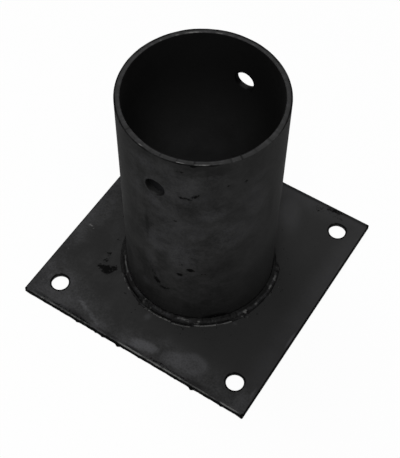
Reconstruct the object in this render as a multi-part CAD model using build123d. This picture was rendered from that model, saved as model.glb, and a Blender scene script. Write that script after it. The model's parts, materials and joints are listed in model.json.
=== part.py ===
from build123d import *
import os

# Bolt-down base for a round post: a square steel plate cut on a shear, a length of steel tube
# that stands on it and takes the post, and one fillet weld round the foot of the tube.
# The finished base is dipped in black paint.
# Origin at the centre of the plate's underside, +Z up the tube, sizes in millimetres.
# The bolt through the post runs along Y, and the ragged edge of the plate is the one at -Y.

# Overall sizes
plate_side = 150.0
plate_thickness = 3.0
overall_height = 150.0

# Tube that takes the post
post_diameter = 80.0
post_clearance = 0.5  # all round the post
sleeve_wall = 3.0
rim_chamfer = 0.4  # arris taken off with a file at the sawn open end

# Bolt through the post
cross_hole_diameter = 11.0
cross_hole_below_rim = 27.5

# Anchor bolts through the plate
anchor_hole_diameter = 11.0
anchor_edge_distance = 15.0  # from each side of the plate to the hole's axis
punch_round = 0.3  # rolled-in lip where the punch entered

# Plate outline and its sheared edge
corner_radius = 1.0
shear_rollover = 0.8  # rounded edge where the blade entered
shear_break_height = 1.2  # part of the thickness that tore instead of being cut
shear_break_slope = 0.3  # how far the torn part stands out at the underside

# Fillet weld round the foot of the tube, laid in runs: where each starts, and its leg on the plate
weld_runs = ((-104.0, 4.8), (-22.0, 5.3), (23.0, 2.0), (141.0, 3.9))
weld_leg_on_sleeve = 2.5
weld_crown = 0.35  # how far the face of the bead bulges past a flat one
weld_overlap_proud = 0.6  # how far the overlap of two runs stands past them on the plate
weld_overlap_width = 7.6
weld_overlap_length = 12.0

# Sizes that follow
sleeve_inner_radius = post_diameter / 2 + post_clearance
sleeve_outer_radius = sleeve_inner_radius + sleeve_wall
sleeve_length = overall_height - plate_thickness
anchor_spacing = plate_side - 2 * anchor_edge_distance
cross_hole_height = overall_height - cross_hole_below_rim


def shear_section():
    """Section across the plate along Y, with the rolled-over and torn edge at -Y."""
    torn_y = -plate_side / 2
    cut_y = torn_y + shear_break_slope
    rollover_start = (cut_y, plate_thickness - shear_rollover)
    rollover_end = (cut_y + shear_rollover, plate_thickness)
    outline = Polyline(
        rollover_end,
        (plate_side / 2, plate_thickness),
        (plate_side / 2, 0),
        (torn_y, 0),
        (cut_y, shear_break_height),
        rollover_start,
    )
    rollover = TangentArc(rollover_start, rollover_end, tangent=(0, 1))
    return Plane.YZ * make_face(outline + rollover)


def make_base_plate():
    """Square plate with four punched holes and one sheared edge."""
    plate = extrude(shear_section(), amount=plate_side / 2, both=True)
    plate &= extrude(RectangleRounded(plate_side, plate_side, corner_radius), plate_thickness)
    for place in GridLocations(anchor_spacing, anchor_spacing, 2, 2):
        punch = place * Pos(Z=plate_thickness / 2) * Cylinder(anchor_hole_diameter / 2, plate_thickness)
        plate -= punch
    lips = plate.edges().filter_by(GeomType.CIRCLE).group_by(Axis.Z)[-1]
    lips = lips.filter_by(lambda edge: abs(edge.radius - anchor_hole_diameter / 2) < 1e-6)
    return fillet(lips, min(punch_round, plate_thickness / 4))


def make_post_sleeve():
    """Tube standing on the plate, with the cross hole drilled through both walls."""
    foot = Pos(Z=plate_thickness)
    upright = (Align.CENTER, Align.CENTER, Align.MIN)
    sleeve = foot * Cylinder(sleeve_outer_radius, sleeve_length, align=upright)
    sleeve -= foot * Cylinder(sleeve_inner_radius, sleeve_length, align=upright)
    rim = sleeve.edges().group_by(Axis.Z)[-1]
    sleeve = chamfer(rim, min(rim_chamfer, sleeve_wall / 3))
    drill = Cylinder(cross_hole_diameter / 2, 3 * sleeve_outer_radius, rotation=(90, 0, 0))
    return sleeve - Pos(Z=cross_hole_height) * drill


def make_weld_run(leg, span):
    """Bead with one size of leg on the plate, over an arc of span degrees that starts at +X."""
    corner = Vector(sleeve_outer_radius, plate_thickness)
    plate_toe = corner + Vector(leg, 0)
    sleeve_toe = corner + Vector(0, weld_leg_on_sleeve)
    face = SagittaArc(plate_toe, sleeve_toe, -weld_crown)
    section = Plane.XZ * make_face(Polyline(sleeve_toe, corner, plate_toe) + face)
    return revolve(section, Axis.Z, revolution_arc=span)


def make_weld_overlap(leg):
    """Long swelling of the bead at +X, where a run of weld stops on the start of the next."""
    half_length = weld_overlap_length / 2
    half_width = weld_overlap_width / 2
    side = EllipticalCenterArc((0, 0), half_length, half_width, start_angle=0, arc_size=180)
    swelling = revolve(make_face(side + Line(side @ 1, side @ 0)), Axis.X)
    depth = half_width / 5
    reach = (half_width**2 - depth**2) ** 0.5
    toe = sleeve_outer_radius + leg + weld_overlap_proud
    return Pos(toe - reach, 0, plate_thickness - depth) * Rot(Z=90) * swelling


def make_fillet_weld():
    """Runs of bead in the corner between plate and tube, seated on both, with their overlaps."""
    upright = (Align.CENTER, Align.CENTER, Align.MIN)
    foot = Pos(Z=plate_thickness)
    corner_room = foot * Cylinder(plate_side / 2, sleeve_length, align=upright)
    corner_room -= foot * Cylinder(sleeve_outer_radius, sleeve_length, align=upright)
    runs = []
    overlaps = []
    for number, (start, leg) in enumerate(weld_runs):
        end = weld_runs[(number + 1) % len(weld_runs)][0]
        leg_before = weld_runs[number - 1][1]
        runs.append(Rot(Z=start) * make_weld_run(leg, (end - start) % 360))
        overlaps.append(Rot(Z=start) * make_weld_overlap(max(leg, leg_before)) & corner_room)
    return runs[0] + runs[1:] + overlaps


pieces = {
    "base_plate": make_base_plate(),
    "post_sleeve": make_post_sleeve(),
    "fillet_weld": make_fillet_weld(),
}

os.makedirs("parts", exist_ok=True)
for name, piece in pieces.items():
    export_step(piece, f"parts/{name}.step")
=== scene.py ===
"""Looks of a bolt-down base for a round post: sheared plate, sawn tube and fillet weld in black dip paint.

Lengths are in millimetres until a mesh is made. The origin is the centre of the plate's underside,
the tube stands along +Z, and the ragged sheared edge of the plate is the one at -Y.
"""
import json
import logging
import math
from dataclasses import dataclass
from enum import Enum

import bmesh
import bpy
import numpy as np
from mathutils import Matrix, Vector


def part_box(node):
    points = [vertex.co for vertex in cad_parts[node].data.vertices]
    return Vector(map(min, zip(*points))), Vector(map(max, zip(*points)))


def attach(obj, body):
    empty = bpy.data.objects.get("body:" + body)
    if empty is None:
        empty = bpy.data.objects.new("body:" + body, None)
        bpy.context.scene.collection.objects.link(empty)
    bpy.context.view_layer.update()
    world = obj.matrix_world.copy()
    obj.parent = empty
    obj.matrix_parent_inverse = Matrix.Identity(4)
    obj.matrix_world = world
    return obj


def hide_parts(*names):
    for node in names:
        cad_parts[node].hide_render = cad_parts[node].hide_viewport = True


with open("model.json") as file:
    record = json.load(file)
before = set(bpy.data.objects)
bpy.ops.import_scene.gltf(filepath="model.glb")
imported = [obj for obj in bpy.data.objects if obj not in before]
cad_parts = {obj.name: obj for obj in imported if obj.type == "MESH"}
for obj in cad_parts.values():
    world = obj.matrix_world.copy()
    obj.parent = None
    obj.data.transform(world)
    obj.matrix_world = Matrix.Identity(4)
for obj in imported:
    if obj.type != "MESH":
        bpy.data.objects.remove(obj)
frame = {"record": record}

log = logging.getLogger("post_base")

MM = 0.001
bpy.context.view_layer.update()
PHOTO_HEIGHT = 458  # pixels, the long side of the picture
MERGE_DISTANCE = 0.01  # mm
SOFT_RIM = 0.7  # half width of a mark's soft rim, as a share of the mark's size
COLOUR_BELOW, COLOUR_ABOVE, COLOUR_OUT = 6, 7, 2  # sockets of a Mix node that mixes colours


class Field(Enum):
    """Numbers that a mesh carries at its vertices, for its paint and its geometry nodes to read."""

    WEAR_AND_HIGHLIGHT = "wear"  # bare or thinly painted edges, and painted highlights on arrises, weld lumps and the lower walls of the plate's holes
    STAIN = "stain"  # dark oily spots
    THICK = "thick"  # paint that ran together: deeper black, and painted shade on cut walls, hole walls, creases, the tube's foot and high in the bore
    CALM = "calm"  # an even coat, without drained clouds
    FILM_AND_LIGHT = "film"  # pale dried film left by handling, and painted light on the plate's edges and deep in the bore
    SIZE = "size"  # radius of a lump or ball
    ALONG = "along"  # millimetres along the weld
    ACROSS = "across"  # 0 at the tube, 1 at the plate


def linear_from_hex(colour: str) -> tuple[float, float, float, float]:
    """Turns an sRGB hex colour into the linear one that a shader takes.

    Args:
        colour: Such as "#1c1c1c".

    Returns:
        Linear red, green, blue and an alpha of 1.
    """
    parts = [int(colour[start:start + 2], 16) / 255 for start in (1, 3, 5)]
    red, green, blue = ((p / 12.92) if p <= 0.04045 else ((p + 0.055) / 1.055) ** 2.4 for p in parts)
    return red, green, blue, 1.0


def add_node(tree: bpy.types.NodeTree, kind: str, inputs: dict | None = None, **settings) -> bpy.types.Node:
    """Adds a node with its settings and links.

    Args:
        tree: Shader or geometry node tree.
        kind: Blender's name of the node type.
        inputs: Input name or number, and the value or the output socket that it takes.
        **settings: Properties of the node, such as its operation.

    Returns:
        The new node.
    """
    node = tree.nodes.new(kind)
    for name, value in settings.items():
        setattr(node, name, value)
    for socket, value in (inputs or {}).items():
        if isinstance(value, bpy.types.NodeSocket):
            tree.links.new(value, node.inputs[socket])
        else:
            node.inputs[socket].default_value = value
    return node


def smoothstep(values: np.ndarray, start: float, end: float) -> np.ndarray:
    """Goes smoothly from 0 at start to 1 at end, and start may be the larger one."""
    share = np.clip((values - start) / (end - start), 0, 1)
    return share * share * (3 - 2 * share)


def bell(values: np.ndarray | float, middle: float, width: float) -> np.ndarray | float:
    """Is 1 at the middle and falls off on both sides as a bell curve, to 0.37 at that width from it."""
    return np.exp(-(((values - middle) / width) ** 2))


def turned(degrees: np.ndarray, start: float) -> np.ndarray:
    """Returns how far angles lie from a start, from -180 to 180 degrees."""
    return (degrees - start + 180) % 360 - 180


def on_circle(radius: np.ndarray | float, angle: np.ndarray, height: np.ndarray | float) -> np.ndarray:
    """Turns radii, angles in radians and heights into places, each with its x, y and z in the last axis."""
    parts = np.broadcast_arrays(radius * np.cos(angle), radius * np.sin(angle), height)
    return np.stack(parts, axis=-1)


@dataclass(frozen=True)
class Wander:
    """A smooth random line, for edges that a shear, a saw or a welder's hand left uneven.

    Attributes:
        pitch: Length of the widest waves, in mm.
        seed: Fixes the waves.
        octaves: How many times the waves are halved and added.
    """

    pitch: float
    seed: int
    octaves: int = 3

    def at(self, places: np.ndarray, loop: float | None = None) -> np.ndarray:
        """Height of the line at some places.

        Args:
            places: Distances along the line, in mm.
            loop: Length after which the line meets its own start, if it is closed.

        Returns:
            Heights from about -1 to 1.
        """
        rng = np.random.default_rng(self.seed)
        height = np.zeros_like(places, dtype=float)
        total = 0.0

        # Each octave has three waves whose lengths never fall in step
        for octave in range(self.octaves):
            for stretch in (1.0, 0.73, 0.56):
                waves = 2**octave / (self.pitch * stretch)
                if loop:
                    waves = max(round(waves * loop), 1) / loop
                weight = 0.6**octave
                height += weight * np.sin(2 * math.pi * (waves * places + rng.random()))
                total += weight
        usual_height = 0.625
        return height / total / usual_height


@dataclass(frozen=True)
class Mark:
    """A stain or smudge on the paint, as a soft oval in flat coordinates of the surface.

    Attributes:
        x: Place along the surface, in mm, or degrees round the tube.
        y: Place up or across the surface, in mm.
        length: Size along its own axis, in mm.
        width: Size across that axis, in mm.
        turn: Angle of that axis from x, in degrees.
        strength: 1 for a full mark.
        rim: Half width of the soft rim, as a share of the mark's size.
    """

    x: float
    y: float
    length: float
    width: float
    turn: float = 0.0
    strength: float = 1.0
    rim: float = SOFT_RIM

    def field(self, across: np.ndarray, up: np.ndarray) -> np.ndarray:
        """Strength of the mark at some places.

        Args:
            across: Distances from the mark's own x, in mm.
            up: Distances from the mark's own y, in mm.

        Returns:
            Numbers from 0 to strength, with a soft rim for the paint's noise to break up.
        """
        turn = math.radians(self.turn)
        along = across * math.cos(turn) + up * math.sin(turn)
        beside = up * math.cos(turn) - across * math.sin(turn)
        reach = np.hypot(along / self.length, beside / self.width) * 2
        return self.strength * smoothstep(reach, 1 + self.rim, 1 - self.rim)


@dataclass(frozen=True)
class Glint:
    """A painted highlight along a stretch of an arris, partly worn paint.

    Attributes:
        place: Its middle along the edge, in mm, or in degrees round the tube.
        length: Its length, in mm.
        strength: 1 for the brightest.
    """

    place: float
    length: float
    strength: float = 1.0

    def field(self, away: np.ndarray) -> np.ndarray:
        """Returns the strength of the glint at some distances from its middle, in mm."""
        return self.strength * smoothstep(np.abs(away) / self.length * 2, 1 + SOFT_RIM, 1 - SOFT_RIM)


class Shell:
    """Collects sheets of quads and welds them into one closed mesh."""

    def __init__(self) -> None:
        """Starts with no sheet."""
        self.places: list[np.ndarray] = []
        self.quads: list[np.ndarray] = []
        self.count = 0

    def add_sheet(self, places: np.ndarray, loop: bool = False, keep: np.ndarray | None = None) -> None:
        """Adds a sheet of quads between rows of places.

        Args:
            places: Rows by columns by 3, in mm.
            loop: Whether the last column joins the first.
            keep: Rows by columns of quads, False where the sheet has a gap.
        """
        rows, columns = places.shape[:2]
        numbers = self.count + np.arange(rows * columns).reshape(rows, columns)
        if loop:
            numbers = np.concatenate([numbers, numbers[:, :1]], axis=1)
        quads = np.stack([numbers[:-1, :-1], numbers[:-1, 1:], numbers[1:, 1:], numbers[1:, :-1]], axis=-1)
        self.quads.append(quads.reshape(-1, 4) if keep is None else quads[keep])
        self.places.append(places.reshape(-1, 3))
        self.count += rows * columns

    def make(self, name: str) -> bpy.types.Object:
        """Welds the sheets and makes the object, in metres, with its faces pointing outwards.

        Args:
            name: Name of the piece.

        Returns:
            A smooth-shaded mesh object at the origin.
        """
        mesh = bpy.data.meshes.new(name)
        mesh.from_pydata(np.concatenate(self.places).tolist(), [], np.concatenate(self.quads).tolist())
        body = bmesh.new()
        body.from_mesh(mesh)
        bmesh.ops.remove_doubles(body, verts=body.verts, dist=MERGE_DISTANCE)
        loose = [vertex for vertex in body.verts if not vertex.link_faces]
        bmesh.ops.delete(body, geom=loose, context="VERTS")
        bmesh.ops.recalc_face_normals(body, faces=body.faces)
        bmesh.ops.scale(body, vec=(MM, MM, MM), verts=body.verts)
        body.to_mesh(mesh)
        body.free()
        mesh.shade_smooth()
        piece = bpy.data.objects.new(name, mesh)
        bpy.context.scene.collection.objects.link(piece)
        return piece


def vertex_places(piece: bpy.types.Object) -> np.ndarray:
    """Reads the vertices of a piece.

    Args:
        piece: Mesh object.

    Returns:
        Three rows, x, y and z, in mm.
    """
    places = np.empty(len(piece.data.vertices) * 3)
    piece.data.vertices.foreach_get("co", places)
    return places.reshape(-1, 3).T / MM


def store(piece: bpy.types.Object, name: Field, values: np.ndarray) -> None:
    """Gives a piece one number at each vertex, under that field's name."""
    attribute = piece.data.attributes.new(name.value, "FLOAT", "POINT")
    attribute.data.foreach_set("value", values)


def fasten(piece: bpy.types.Object, slot: str, *nodes: str) -> None:
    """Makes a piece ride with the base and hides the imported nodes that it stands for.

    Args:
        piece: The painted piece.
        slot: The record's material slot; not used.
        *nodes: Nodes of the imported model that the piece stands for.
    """
    if nodes:
        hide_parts(*nodes)
    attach(piece, "root")
    piece.data.calc_loop_triangles()
    log.info("%s: %d triangles", piece.name, len(piece.data.loop_triangles))


def start_tree(name: str, sizes: tuple[str, ...]) -> tuple[bpy.types.NodeTree, dict]:
    """Starts a group of geometry nodes that takes a mesh and some sizes.

    Args:
        name: Name of the group.
        sizes: Names of its sizes.

    Returns:
        The group, and the sockets of its inputs by name, with "Geometry" among them.
    """
    tree = bpy.data.node_groups.new(name, "GeometryNodeTree")
    tree.interface.new_socket(name="Geometry", in_out="INPUT", socket_type="NodeSocketGeometry")
    for size in sizes:
        tree.interface.new_socket(name=size, in_out="INPUT", socket_type="NodeSocketFloat")
    tree.interface.new_socket(name="Geometry", in_out="OUTPUT", socket_type="NodeSocketGeometry")
    inputs = add_node(tree, "NodeGroupInput").outputs
    return tree, {given: inputs[given] for given in ("Geometry", *sizes)}


def end_tree(tree: bpy.types.NodeTree, geometry: bpy.types.NodeSocket, height: bpy.types.NodeSocket,
             finish: bpy.types.Material) -> None:
    """Raises a surface along its normals, makes it real and paints it.

    Args:
        tree: The group of geometry nodes.
        geometry: The surface.
        height: How far it is raised at each point, in mm.
        finish: Its material.
    """
    metres = add_node(tree, "ShaderNodeMath", {0: height, 1: MM}, operation="MULTIPLY").outputs[0]
    normal = add_node(tree, "GeometryNodeInputNormal").outputs[0]
    lift = add_node(tree, "ShaderNodeVectorMath", {0: normal, "Scale": metres}, operation="SCALE").outputs[0]
    moved = add_node(tree, "GeometryNodeSetPosition", {"Geometry": geometry, "Offset": lift}).outputs[0]
    real = add_node(tree, "GeometryNodeRealizeInstances", {0: moved}).outputs[0]
    painted = add_node(tree, "GeometryNodeSetMaterial", {0: real, "Material": finish}).outputs[0]
    add_node(tree, "NodeGroupOutput", {0: painted})


def apply_tree(piece: bpy.types.Object, tree: bpy.types.NodeTree, sizes: dict[str, float]) -> None:
    """Runs geometry nodes on a piece and keeps the result as its plain mesh.

    Args:
        piece: Mesh object that the nodes start from.
        tree: The node group.
        sizes: Value of each named input.
    """
    modifier = piece.modifiers.new(tree.name, "NODES")
    modifier.node_group = tree
    for socket in tree.interface.items_tree:
        if socket.in_out == "INPUT" and socket.name in sizes:
            modifier[socket.identifier] = sizes[socket.name]
    graph = bpy.context.evaluated_depsgraph_get()
    shaped = piece.evaluated_get(graph)
    result = bpy.data.meshes.new_from_object(shaped, preserve_all_data_layers=True, depsgraph=graph)
    piece.modifiers.remove(modifier)
    piece.data = result
    result.name = piece.name
    result.shade_smooth()


@dataclass(frozen=True)
class DipPaint:
    """Black air-drying dip paint on steel: thin, satin, cloudy where it drained, worn on its edges, with
    painted highlights and painted shade laid into its colour.

    Attributes:
        name: What the finish is, for the material.
        pooled: Colour where the paint is thick.
        thin: Colour where it drained thin over the grey scale of the steel.
        rubbed_and_highlight: Colour of edges where the paint has worn thin, and of painted highlights.
        stain_and_shade: Colour of oily spots, of paint that ran together, and of painted shade.
        filmed_and_lit: Colour of the dried film that handling left, and of painted light.
        roughness: Mean roughness.
        gloss_range: How far the roughness differs from its mean, up or down.
        specular: Specular level, low because the paint is loaded with dull pigment.
        cloud: Size of the drained clouds, in mm.
        contrast: Width of the noise's range that goes from one colour to the other, small for hard clouds.
        grain: Size of the fine specks, in mm.
        wear_range: Sums of wear and noise at which the colour of worn edges and painted highlights starts and
            is full.
        peel: Size of the bumps in the paint's skin, in mm.
        peel_height: Height of those bumps, in mm.
    """

    name: str
    pooled: str
    thin: str
    rubbed_and_highlight: str = "#5c5c5b"
    stain_and_shade: str = "#050505"
    filmed_and_lit: str = "#4a4a4c"
    roughness: float = 0.7
    gloss_range: float = 0.06
    specular: float = 0.02
    cloud: float = 22.0
    contrast: float = 0.3
    grain: float = 2.2
    wear_range: tuple[float, float] = (0.75, 1.3)
    peel: float = 1.3
    peel_height: float = 0.02

    def noises(self, tree: bpy.types.NodeTree) -> list[bpy.types.NodeSocket]:
        """Adds noise of four real sizes in the piece's own coordinates.

        Args:
            tree: The material's nodes.

        Returns:
            The sockets of clouds, specks, crumbs and bumps, each from 0 to 1 with a mean of 0.5.
        """
        place = add_node(tree, "ShaderNodeTexCoord").outputs["Object"]
        sockets = []
        for size, detail in ((self.cloud, 5.0), (self.grain, 2.0), (self.grain / 2, 3.0), (self.peel, 2.0)):
            inputs = {"Vector": place, "Scale": 1 / (size * MM), "Detail": detail, "Roughness": 0.6}
            sockets.append(add_node(tree, "ShaderNodeTexNoise", inputs).outputs["Fac"])
        return sockets

    def drained(self, tree: bpy.types.NodeTree, calm: bpy.types.NodeSocket, clouds: bpy.types.NodeSocket,
                specks: bpy.types.NodeSocket) -> bpy.types.NodeSocket:
        """Mixes the colours of thick and of thin paint in clouds.

        Args:
            tree: The material's nodes.
            calm: Socket that is 1 where the coat is even.
            clouds: Wide noise.
            specks: Fine noise, which roughens the clouds.

        Returns:
            The socket of the mixed colour.
        """
        speck_share = 0.3
        mean = 0.5 + 0.5 * speck_share
        inputs = {0: specks, 1: speck_share, 2: clouds}
        cloudy = add_node(tree, "ShaderNodeMath", inputs, operation="MULTIPLY_ADD").outputs[0]
        evened = add_node(tree, "ShaderNodeMix", {0: calm, 2: cloudy, 3: mean}).outputs[0]
        low, high = mean - self.contrast / 2, mean + self.contrast / 2
        inputs = {"Value": evened, "From Min": low, "From Max": high}
        thinned = add_node(tree, "ShaderNodeMapRange", inputs, interpolation_type="SMOOTHSTEP").outputs[0]
        pooled, thin = linear_from_hex(self.pooled), linear_from_hex(self.thin)
        inputs = {0: thinned, COLOUR_BELOW: pooled, COLOUR_ABOVE: thin}
        return add_node(tree, "ShaderNodeMix", inputs, data_type="RGBA").outputs[COLOUR_OUT]

    def material(self) -> bpy.types.Material:
        """Builds the finish.

        Returns:
            The material, named for the finish.
        """
        material = bpy.data.materials.new(self.name)
        material.use_nodes = True
        tree = material.node_tree
        shader = tree.nodes["Principled BSDF"]
        calm = add_node(tree, "ShaderNodeAttribute", attribute_name=Field.CALM.value).outputs["Fac"]
        clouds, specks, crumbs, bumps = self.noises(tree)

        # Film is broken up by clouds and crumbs, which go to their mean where the coat is even
        wide = add_node(tree, "ShaderNodeMix", {0: calm, 2: clouds, 3: 0.5}).outputs[0]
        fine = add_node(tree, "ShaderNodeMix", {0: calm, 2: crumbs, 3: 0.5}).outputs[0]
        inputs = {0: fine, 1: 0.7, 2: wide}
        mottled = add_node(tree, "ShaderNodeMath", inputs, operation="MULTIPLY_ADD").outputs[0]

        # Each coat: its colour, the field that it follows, the noise that breaks its rim up, how far the
        # noise reaches, and the sums of field and noise at which it starts and is full
        # Besides the paint's own marks, the film coat lays painted light, the thick coat painted shade and
        # the worn-edge coat painted highlights.
        coats = (
            (self.filmed_and_lit, Field.FILM_AND_LIGHT, mottled, 1.0, (0.86, 1.86)),
            (self.stain_and_shade, Field.THICK, clouds, 0.3, (0.15, 1.15)),
            (self.stain_and_shade, Field.STAIN, crumbs, 1.6, (1.0, 1.35)),
            (self.rubbed_and_highlight, Field.WEAR_AND_HIGHLIGHT, specks, 0.9, self.wear_range),
        )
        colour = self.drained(tree, calm, clouds, specks)
        for above, field, noise, reach, (low, high) in coats:
            soft = add_node(tree, "ShaderNodeAttribute", attribute_name=field.value).outputs["Fac"]
            inputs = {0: noise, 1: reach, 2: soft}
            total = add_node(tree, "ShaderNodeMath", inputs, operation="MULTIPLY_ADD").outputs[0]
            inputs = {"Value": total, "From Min": low, "From Max": high}
            mask = add_node(tree, "ShaderNodeMapRange", inputs, interpolation_type="SMOOTHSTEP").outputs[0]
            inputs = {0: mask, COLOUR_BELOW: colour, COLOUR_ABOVE: linear_from_hex(above)}
            colour = add_node(tree, "ShaderNodeMix", inputs, data_type="RGBA").outputs[COLOUR_OUT]
        tree.links.new(colour, shader.inputs["Base Color"])

        inputs = {"Value": clouds, "From Min": 0.3, "From Max": 0.7,
                  "To Min": self.roughness - self.gloss_range, "To Max": self.roughness + self.gloss_range}
        rough = add_node(tree, "ShaderNodeMapRange", inputs, interpolation_type="SMOOTHSTEP").outputs[0]
        tree.links.new(rough, shader.inputs["Roughness"])
        shader.inputs["Specular IOR Level"].default_value = self.specular
        bump = add_node(tree, "ShaderNodeBump", {"Height": bumps, "Distance": self.peel_height * MM})
        tree.links.new(bump.outputs["Normal"], shader.inputs["Normal"])
        return material


# Satin black on flat hot-rolled sheet, where it lay level and dried even
PLATE_PAINT = DipPaint("satin black dip paint on hot-rolled sheet", "#252525", "#2c2c2c")
# The same coat on an upright tube, which shed it in clouds
SLEEVE_PAINT = DipPaint("satin black dip paint on steel tube", "#1f1f1f", "#343434",
                        cloud=15.0, contrast=0.36)
# Thick paint held by the corner and the ripples of the bead, so it is wetter looking
WELD_PAINT = DipPaint("pooled black dip paint on weld bead", "#161616", "#202020", rubbed_and_highlight="#5a5a59",
                      roughness=0.4, cloud=6.0, wear_range=(0.5, 1.35))


def mount(name: str) -> dict:
    """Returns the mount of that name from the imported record."""
    return next(each for each in frame["record"]["mounts"] if each["name"] == name)


def graded_lines(low: float, high: float, step: float, near_low: tuple[float, ...],
                 near_high: tuple[float, ...]) -> np.ndarray:
    """Grid lines that crowd at both ends.

    Args:
        low: First line.
        high: Last line.
        step: Distance between the lines in the middle, on whole multiples of it.
        near_low: Distances of the crowded lines from low.
        near_high: Distances of the crowded lines from high.

    Returns:
        The lines in rising order.
    """
    first = low + near_low[-1]
    last = high - near_high[-1]
    even = np.arange(math.ceil((first + step / 2) / step), math.floor((last - step / 2) / step) + 1) * step
    start = low + np.array(near_low)
    end = high - np.array(near_high[::-1])
    return np.concatenate([start, even, end])


def ring_of(lines_x: np.ndarray, lines_y: np.ndarray) -> np.ndarray:
    """Walks once round the outside of a grid.

    Args:
        lines_x: Columns of the grid.
        lines_y: Rows of the grid.

    Returns:
        Places by 2, each once, going round from the lowest corner.
    """
    low_x, high_x, low_y, high_y = lines_x[0], lines_x[-1], lines_y[0], lines_y[-1]
    walk = [(x, low_y) for x in lines_x]
    walk += [(high_x, y) for y in lines_y[1:]]
    walk += [(x, high_y) for x in lines_x[-2::-1]]
    walk += [(low_x, y) for y in lines_y[-2:0:-1]]
    return np.array(walk)


def between(lines: np.ndarray, low: float, high: float) -> np.ndarray:
    """Returns the lines from low to high, both included."""
    return lines[(lines > low - MERGE_DISTANCE) & (lines < high + MERGE_DISTANCE)]


@dataclass(frozen=True)
class Burr:
    """A crumb of torn steel that stands out of the sheared edge, in mm.

    Attributes:
        x: Place along the edge.
        reach: How far it stands out.
        width: How wide it is.
    """

    x: float
    reach: float
    width: float


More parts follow.
